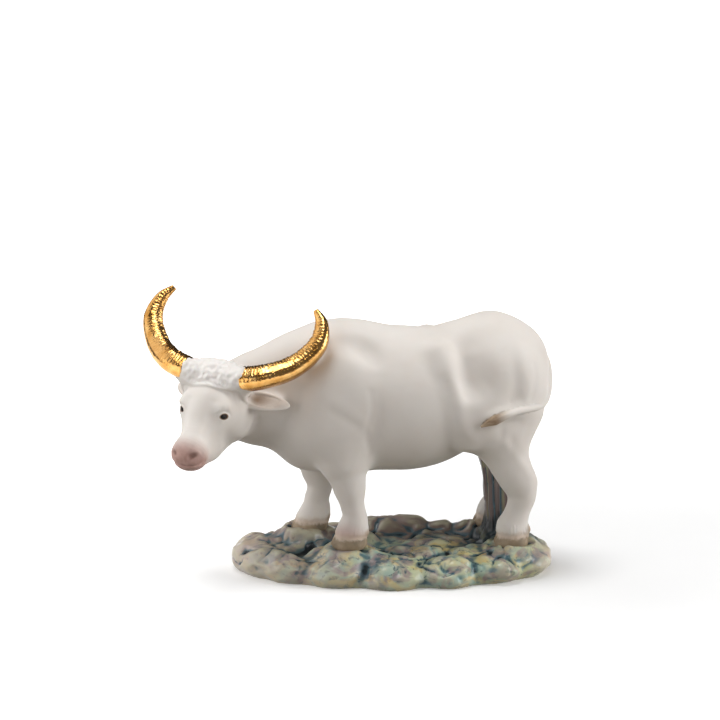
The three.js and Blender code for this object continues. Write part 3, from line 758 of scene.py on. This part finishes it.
def raise_stones(skin, stump):
    rng = np.random.default_rng(41)
    points = skin.points
    above = (1 - stump) * fade(points[:, 2], 1.2, 4)
    bent = points + 2.2 * np.stack([rough(points, 8, s) for s in (1.3, 5.9, 12.4)], axis=1)
    low, high, count = BOULDERS
    boulders = rng.uniform(low, high, (count, 3))
    near, next_near = cells(bent, boulders, (1.2, 1, 0.9))
    seams = np.exp(-((next_near - near) / 2.1) ** 2)
    skin.push(above * (1.2 * np.exp(-(near / 6) ** 2) - 0.7 * seams - 0.3))
    top = fade(skin.outward()[:, 2], 0.3, 0.8)
    stony = above * top * fade(rough(points, 16, 3.3), -0.25, 0.1)
    low, high, count = PEBBLES
    pebbles = rng.uniform(low, high, (count, 3))
    near, next_near = cells(bent, pebbles)
    skin.push(stony * (0.7 * fade(near, 2.9, 0.3) - 0.4 * fade(next_near - near, 0.9, 0)))
    veins = np.abs(rough(bent * (1, 1, 1.4), 8, 3.1))
    broken = fade(rough(points, 13, 8.2), -0.05, 0.3)
    skin.push(-0.85 * above * fade(veins, 0.2, 0.02) * broken)
    strata = np.sin(2.1 * (points[:, 0] * 0.5 - points[:, 2]) + 5 * rough(points, 9, 4.4))
    skin.push(0.07 * above * strata * (1 - 0.6 * top))
    skin.push(0.08 * above * rough(points * (1, 1, 2), 2.2, 7.7))
    for (x, y), sole in SOLES.items():
        gap = np.hypot(points[:, 0] - x, points[:, 1] - y)
        skin.points[:, 2] += 1.1 * fade(gap, 10.5, 7) * top * fade(points[:, 2], sole - 6, sole - 3)


def groove_stump(skin, stump):
    turn = np.arctan2(skin.points[:, 1] - STUMP_AXIS[1], skin.points[:, 0] - STUMP_AXIS[0])
    twist = turn * 5 + 0.05 * skin.points[:, 2] + 2.2 * rough(skin.points * (1, 1, 0.3), 5, 3.1)
    skin.push(stump * (0.95 * np.abs(np.sin(twist)) - 0.8 + 0.15 * np.sin(5 * twist)))


# Finishes

def put(tree, kind, links=None, **settings):
    node = tree.nodes.new(kind)
    for name, value in settings.items():
        setattr(node, name, value)
    for name, source in (links or {}).items():
        if isinstance(source, bpy.types.NodeSocket):
            tree.links.new(source, node.inputs[name])
        else:
            node.inputs[name].default_value = source
    return node


def new_finish(name, colour, **sockets):
    material = bpy.data.materials.new(name)
    material.use_nodes = True
    shader = material.node_tree.nodes["Principled BSDF"]
    shader.inputs["Base Color"].default_value = (*colour, 1)
    for socket, value in sockets.items():
        shader.inputs[socket.replace("_", " ")].default_value = value
    return material, material.node_tree, shader


def value_of(tree, name):
    return put(tree, "ShaderNodeAttribute", attribute_name=name).outputs["Fac"]


def mottling(tree, per_metre, detail=3.0, warp=0.0, stretch=(1, 1, 1), shift=(0, 0, 0)):
    place = put(tree, "ShaderNodeTexCoord").outputs["Object"]
    mapped = put(tree, "ShaderNodeMapping", {
        "Vector": place, "Scale": stretch, "Location": shift,
    }).outputs["Vector"]
    return put(tree, "ShaderNodeTexNoise", {
        "Vector": mapped, "Scale": per_metre, "Detail": detail, "Distortion": warp,
    }).outputs["Fac"]


def between(tree, value, low, high):
    return put(tree, "ShaderNodeMapRange", {
        "Value": value, "From Min": low, "From Max": high,
    }, interpolation_type="SMOOTHSTEP").outputs["Result"]


def work(tree, operation, *values):
    node = put(tree, "ShaderNodeMath", operation=operation)
    for socket, source in zip(node.inputs, values):
        if isinstance(source, bpy.types.NodeSocket):
            tree.links.new(source, socket)
        else:
            socket.default_value = source
    return node.outputs["Value"]


def mixed(tree, share, first, second):
    node = put(tree, "ShaderNodeMix", data_type="RGBA")
    for index, source in ((0, share), (6, first), (7, second)):
        if isinstance(source, bpy.types.NodeSocket):
            tree.links.new(source, node.inputs[index])
        elif index == 0:
            node.inputs[index].default_value = source
        else:
            node.inputs[index].default_value = (*source, 1)
    return node.outputs[2]


def bands(tree, value, stops):
    node = put(tree, "ShaderNodeValToRGB", {"Fac": value})
    ramp = node.color_ramp
    while len(ramp.elements) < len(stops):
        ramp.elements.new(0.5)
    for element, (place, colour) in zip(ramp.elements, stops):
        element.position = place
        element.color = (*colour, 1)
    return node.outputs["Color"]


def bump(tree, shader, height, millimetres, strength=1.0):
    node = put(tree, "ShaderNodeBump", {
        "Height": height, "Distance": millimetres * MM, "Strength": strength,
    })
    tree.links.new(node.outputs["Normal"], shader.inputs["Normal"])


# the poll's curls painted a lighter white than the rest: painted light, as if more light fell on
# the top of the head
CURL_PAINTED_LIGHT = (0.9, 0.86, 0.82)
NOSTRIL_BROWN = (0.24, 0.13, 0.1)
EAR_BROWN = (0.33, 0.225, 0.15)
CORONET_TAN = (0.62, 0.5, 0.4)
DEWCLAW_BROWN = (0.4, 0.29, 0.2)
LID_BROWN = (0.3, 0.19, 0.12)
EYE_BLACK = (0.012, 0.009, 0.008)


def bisque_finish():
    """Unglazed white porcelain, stained on the muzzle, eyes, ears, hooves and tail, with painted
    light on the poll's curls.
    """
    material, tree, shader = new_finish(
        "matte bisque porcelain", (0.8, 0.77, 0.73),
        Roughness=0.58, Subsurface_Weight=0.12, Subsurface_Scale=0.0012, IOR=1.46,
    )
    shader.inputs["Subsurface Radius"].default_value = (1.0, 0.7, 0.5)
    cloud = mottling(tree, 60)
    white = bands(tree, cloud, [(0.3, (0.77, 0.715, 0.66)), (0.7, (0.815, 0.77, 0.72))])
    # painted light: the curls on the poll painted a lighter white than the body
    white = mixed(tree, value_of(tree, "curls"), white, CURL_PAINTED_LIGHT)
    pink = bands(tree, mottling(tree, 420), [(0.3, (0.43, 0.25, 0.21)), (0.7, (0.56, 0.35, 0.3))])
    colour = mixed(tree, value_of(tree, "muzzle"), white, pink)
    colour = mixed(tree, value_of(tree, "nostril"), colour, NOSTRIL_BROWN)
    colour = mixed(tree, value_of(tree, "ear_hollow"), colour, EAR_BROWN)
    above = value_of(tree, "above_coronet")
    ragged = work(tree, "MULTIPLY_ADD", mottling(tree, 900, 2), 1.7, -0.85)
    edge = work(tree, "ADD", work(tree, "ADD", above, 1.3), ragged)
    horny = bands(tree, mottling(tree, 230, 4, 0.4), [
        (0.25, (0.18, 0.14, 0.09)), (0.55, (0.33, 0.25, 0.165)), (0.8, (0.47, 0.36, 0.25)),
    ])
    colour = mixed(tree, between(tree, edge, 3.2, 0.2), colour, CORONET_TAN)
    colour = mixed(tree, between(tree, edge, 0.7, -0.5), colour, horny)
    colour = mixed(tree, value_of(tree, "dewclaw"), colour, DEWCLAW_BROWN)
    tuft = bands(tree, mottling(tree, 500, 3, 0, (0.3, 1, 1.6)), [
        (0.35, (0.26, 0.17, 0.1)), (0.7, (0.5, 0.38, 0.26)),
    ])
    colour = mixed(tree, value_of(tree, "tuft"), colour, tuft)
    eye = value_of(tree, "eye_distance")
    colour = mixed(tree, between(tree, eye, 1.5, 1.2), colour, LID_BROWN)
    colour = mixed(tree, between(tree, eye, 1.22, 0.95), colour, EYE_BLACK)
    tree.links.new(colour, shader.inputs["Base Color"])
    in_eye = between(tree, eye, 1.4, 1.1)
    tree.links.new(work(tree, "MULTIPLY_ADD", in_eye, -0.2, 0.6), shader.inputs["Roughness"])
    dull = work(tree, "MULTIPLY_ADD", in_eye, -0.35, 0.5)
    tree.links.new(dull, shader.inputs["Specular IOR Level"])
    bump(tree, shader, mottling(tree, 2600, 2), 0.02, 0.5)
    return material


def gold_finish():
    """Fired gold lustre, crinkled across the ribs."""
    material, tree, shader = new_finish(
        "gold lustre", (0.62, 0.33, 0.1), Metallic=1.0, Roughness=0.14,
    )
    tone = bands(tree, mottling(tree, 320, 4), [
        (0.3, (0.5, 0.24, 0.055)), (0.55, (0.64, 0.35, 0.11)), (0.8, (0.76, 0.48, 0.19)),
    ])
    tree.links.new(tone, shader.inputs["Base Color"])
    tree.links.new(
        between(tree, mottling(tree, 700, 3, 0, shift=(3, 1, 2)), -0.2, 2.4),
        shader.inputs["Roughness"],
    )
    bump(tree, shader, mottling(tree, 800, 3, 0.8), 0.2, 0.6)
    return material


GLAZE_BLOTS = [
    # tint, blots per metre, noise where a blot begins and is full, share
    ((0.28, 0.45, 0.41), 90, 0.47, 0.62, 0.8),
    ((0.3, 0.22, 0.23), 115, 0.46, 0.58, 0.85),
    ((0.66, 0.5, 0.2), 150, 0.5, 0.66, 0.75),
    ((0.09, 0.17, 0.22), 170, 0.53, 0.68, 0.75),
    ((0.66, 0.58, 0.36), 330, 0.58, 0.72, 0.6),
    ((0.035, 0.085, 0.12), 390, 0.57, 0.68, 0.8),
]
TEAL, NEAR_BLACK, CREAM = (0.04, 0.12, 0.16), (0.007, 0.017, 0.022), (0.68, 0.67, 0.46)
PEACH, MAUVE = (0.78, 0.64, 0.55), (0.56, 0.45, 0.42)


def running_glazes(tree):
    """Mint, ochre and mauve run together, paler at the ends and earth brown behind."""
    drifts = mottling(tree, 60, 2, 0.4)
    colour = bands(tree, drifts, [(0.35, (0.36, 0.48, 0.41)), (0.65, (0.57, 0.57, 0.31))])
    for tint, per_metre, begins, full, share in GLAZE_BLOTS:
        blots = mottling(tree, per_metre, 4, 0.9, (1, 1, 1.3), (per_metre, 3, 7))
        blots = work(tree, "MULTIPLY", between(tree, blots, begins, full), share)
        colour = mixed(tree, blots, colour, tint)
    place = put(tree, "ShaderNodeSeparateXYZ", {
        "Vector": put(tree, "ShaderNodeTexCoord").outputs["Object"],
    })
    along = place.outputs["X"]
    left_end, right_end = between(tree, along, -0.034, -0.049), between(tree, along, 0.038, 0.05)
    ends = work(tree, "MAXIMUM", left_end, right_end)
    colour = mixed(tree, work(tree, "MULTIPLY", ends, 0.65), colour, PEACH)
    leftward = work(tree, "MULTIPLY", between(tree, along, -0.005, -0.036), 0.4)
    colour = mixed(tree, leftward, colour, MAUVE)
    behind = work(
        tree, "MULTIPLY", between(tree, place.outputs["Y"], -0.003, 0.009),
        between(tree, along, -0.05, -0.03),
    )
    earth = bands(tree, drifts, [(0.35, (0.14, 0.1, 0.085)), (0.6, (0.28, 0.21, 0.19))])
    return mixed(tree, work(tree, "MULTIPLY", behind, 0.9), colour, earth)


def bark_streaks(tree):
    streaks = mottling(tree, 170, 2, 0.6, (1.4, 1.4, 0.16), (2, 7, 3))
    return bands(tree, streaks, [
        (0.32, (0.01, 0.025, 0.03)), (0.44, (0.12, 0.09, 0.085)), (0.58, (0.21, 0.16, 0.15)),
        (0.66, (0.34, 0.31, 0.18)), (0.76, (0.2, 0.2, 0.19)),
    ])


def glaze_finish():
    """Glossy glazes over the rocks, cream on their edges and dark where they pool, with painted
    shade, near black, round the bottom of the stump.
    """
    material, tree, shader = new_finish(
        "running rock glaze", (0.5, 0.54, 0.4),
        Roughness=0.36, Specular_IOR_Level=0.3, Coat_Weight=0.3, Coat_Roughness=0.08,
    )
    hollow = value_of(tree, "hollow")
    edges = work(tree, "MULTIPLY", between(tree, hollow, -0.04, -0.4), 0.42)
    colour = mixed(tree, edges, running_glazes(tree), CREAM)
    colour = mixed(tree, value_of(tree, "stump"), colour, bark_streaks(tree))
    ragged = work(tree, "MULTIPLY_ADD", mottling(tree, 300, 3), 0.3, -0.15)
    pooled = work(tree, "ADD", hollow, ragged)
    shallow = work(tree, "MULTIPLY", between(tree, pooled, -0.03, 0.27), 0.82)
    colour = mixed(tree, shallow, colour, TEAL)
    colour = mixed(tree, between(tree, pooled, 0.26, 0.5), colour, NEAR_BLACK)
    # painted shade: near black round the bottom of the stump
    shade_at_stump = work(tree, "MULTIPLY", value_of(tree, "painted_shade_at_stump_foot"), 0.85)
    colour = mixed(tree, shade_at_stump, colour, NEAR_BLACK)
    tree.links.new(colour, shader.inputs["Base Color"])
    bump(tree, shader, mottling(tree, 480, 3, 0.5), 0.2, 0.4)
    return material


# where the paper glows least, shifted to just right of the figure: a painted shadow on the floor
PAINTED_SHADOW_SHIFT = (-0.07, 0, 0)
GLOW_NEAR_M, GLOW_FAR_M = 0.05, 0.27
GLOW_LEAST, GLOW_RISE = 0.12, 0.8


def floor_finish():
    """White paper, whose own glow rises away from the figure and keeps it bright there; it glows
    least in a patch just right of the figure, a painted shadow.
    """
    material, tree, shader = new_finish("white paper", (0.9, 0.9, 0.9), Roughness=0.9)
    shader.inputs["Emission Color"].default_value = (1, 1, 1, 1)
    place = put(tree, "ShaderNodeMapping", {
        "Vector": put(tree, "ShaderNodeTexCoord").outputs["Object"],
        "Location": PAINTED_SHADOW_SHIFT,
    })
    away = put(tree, "ShaderNodeVectorMath", {
        "Vector": place.outputs["Vector"],
    }, operation="LENGTH").outputs["Value"]
    # painted shadow: the glow dips near the figure, most to its right
    risen = between(tree, away, GLOW_NEAR_M, GLOW_FAR_M)
    glow = work(tree, "MULTIPLY_ADD", risen, GLOW_RISE, GLOW_LEAST)
    tree.links.new(glow, shader.inputs["Emission Strength"])
    tone = bands(tree, mottling(tree, 3), [(0.3, (0.895,) * 3), (0.7, (0.905,) * 3)])
    tree.links.new(tone, shader.inputs["Base Color"])
    return material


# The studio

def add_softbox(name, place, width, watts):
    lamp = bpy.data.lights.new(name, "AREA")
    lamp.shape = "SQUARE"
    lamp.size = width
    lamp.energy = watts
    box = bpy.data.objects.new(name, lamp)
    box.location = place
    box.rotation_euler = (Vector(place) - Vector(LIT_SPOT)).to_track_quat("Z", "Y").to_euler()
    bpy.context.collection.objects.link(box)


def lay_floor():
    shell = bmesh.new()
    bmesh.ops.create_grid(shell, x_segments=2, y_segments=2, size=5)
    paper = bpy.data.meshes.new("white_floor")
    shell.to_mesh(paper)
    shell.free()
    paper.materials.append(floor_finish())
    ground = bpy.data.objects.new("white_floor", paper)
    bpy.context.collection.objects.link(ground)
    ground.visible_diffuse = False


WARM_BELOW, PALE_LEVEL, DIM_ABOVE = (0.21, 0.19, 0.165), (0.25, 0.24, 0.23), (0.15, 0.15, 0.15)


def light_room():
    """A dim room around the lights, warm below and darker above and behind."""
    world = bpy.data.worlds.new("studio")
    bpy.context.scene.world = world
    world.use_nodes = True
    tree = world.node_tree
    sky = tree.nodes["Background"]
    bearing = put(tree, "ShaderNodeSeparateXYZ", {
        "Vector": put(tree, "ShaderNodeTexCoord").outputs["Generated"],
    })
    tone = bands(tree, between(tree, bearing.outputs["Z"], -0.6, 0.9), [
        (0.1, WARM_BELOW), (0.4, PALE_LEVEL), (0.8, DIM_ABOVE),
    ])
    tree.links.new(tone, sky.inputs["Color"])
    behind = between(tree, bearing.outputs["Y"], -0.2, 0.4)
    tree.links.new(work(tree, "MULTIPLY_ADD", behind, -0.55, 1), sky.inputs["Strength"])
    for name, (place, width, watts) in SOFTBOXES.items():
        add_softbox(name, place, width, watts)
    bpy.context.scene.view_settings.view_transform = "Standard"


def set_camera():
    lens = bpy.data.cameras.new("camera")
    lens.sensor_width = SENSOR_WIDTH
    lens.lens = LENS
    camera = bpy.data.objects.new("camera", lens)
    back = Vector((
        math.sin(VIEW_BEARING) * math.cos(VIEW_RISE),
        -math.cos(VIEW_BEARING) * math.cos(VIEW_RISE),
        math.sin(VIEW_RISE),
    ))
    camera.location = Vector(VIEW_CENTRE) * MM + back * VIEW_DISTANCE_M
    camera.rotation_euler = back.to_track_quat("Z", "Y").to_euler()
    bpy.context.collection.objects.link(camera)
    bpy.context.scene.camera = camera


set_camera()
lay_floor()
light_room()
ox = make_ox(bisque_finish(), gold_finish())
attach(ox, "root")
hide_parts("ox")
rocks = make_rocks(glaze_finish())
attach(rocks, "root")
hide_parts("rock_base")
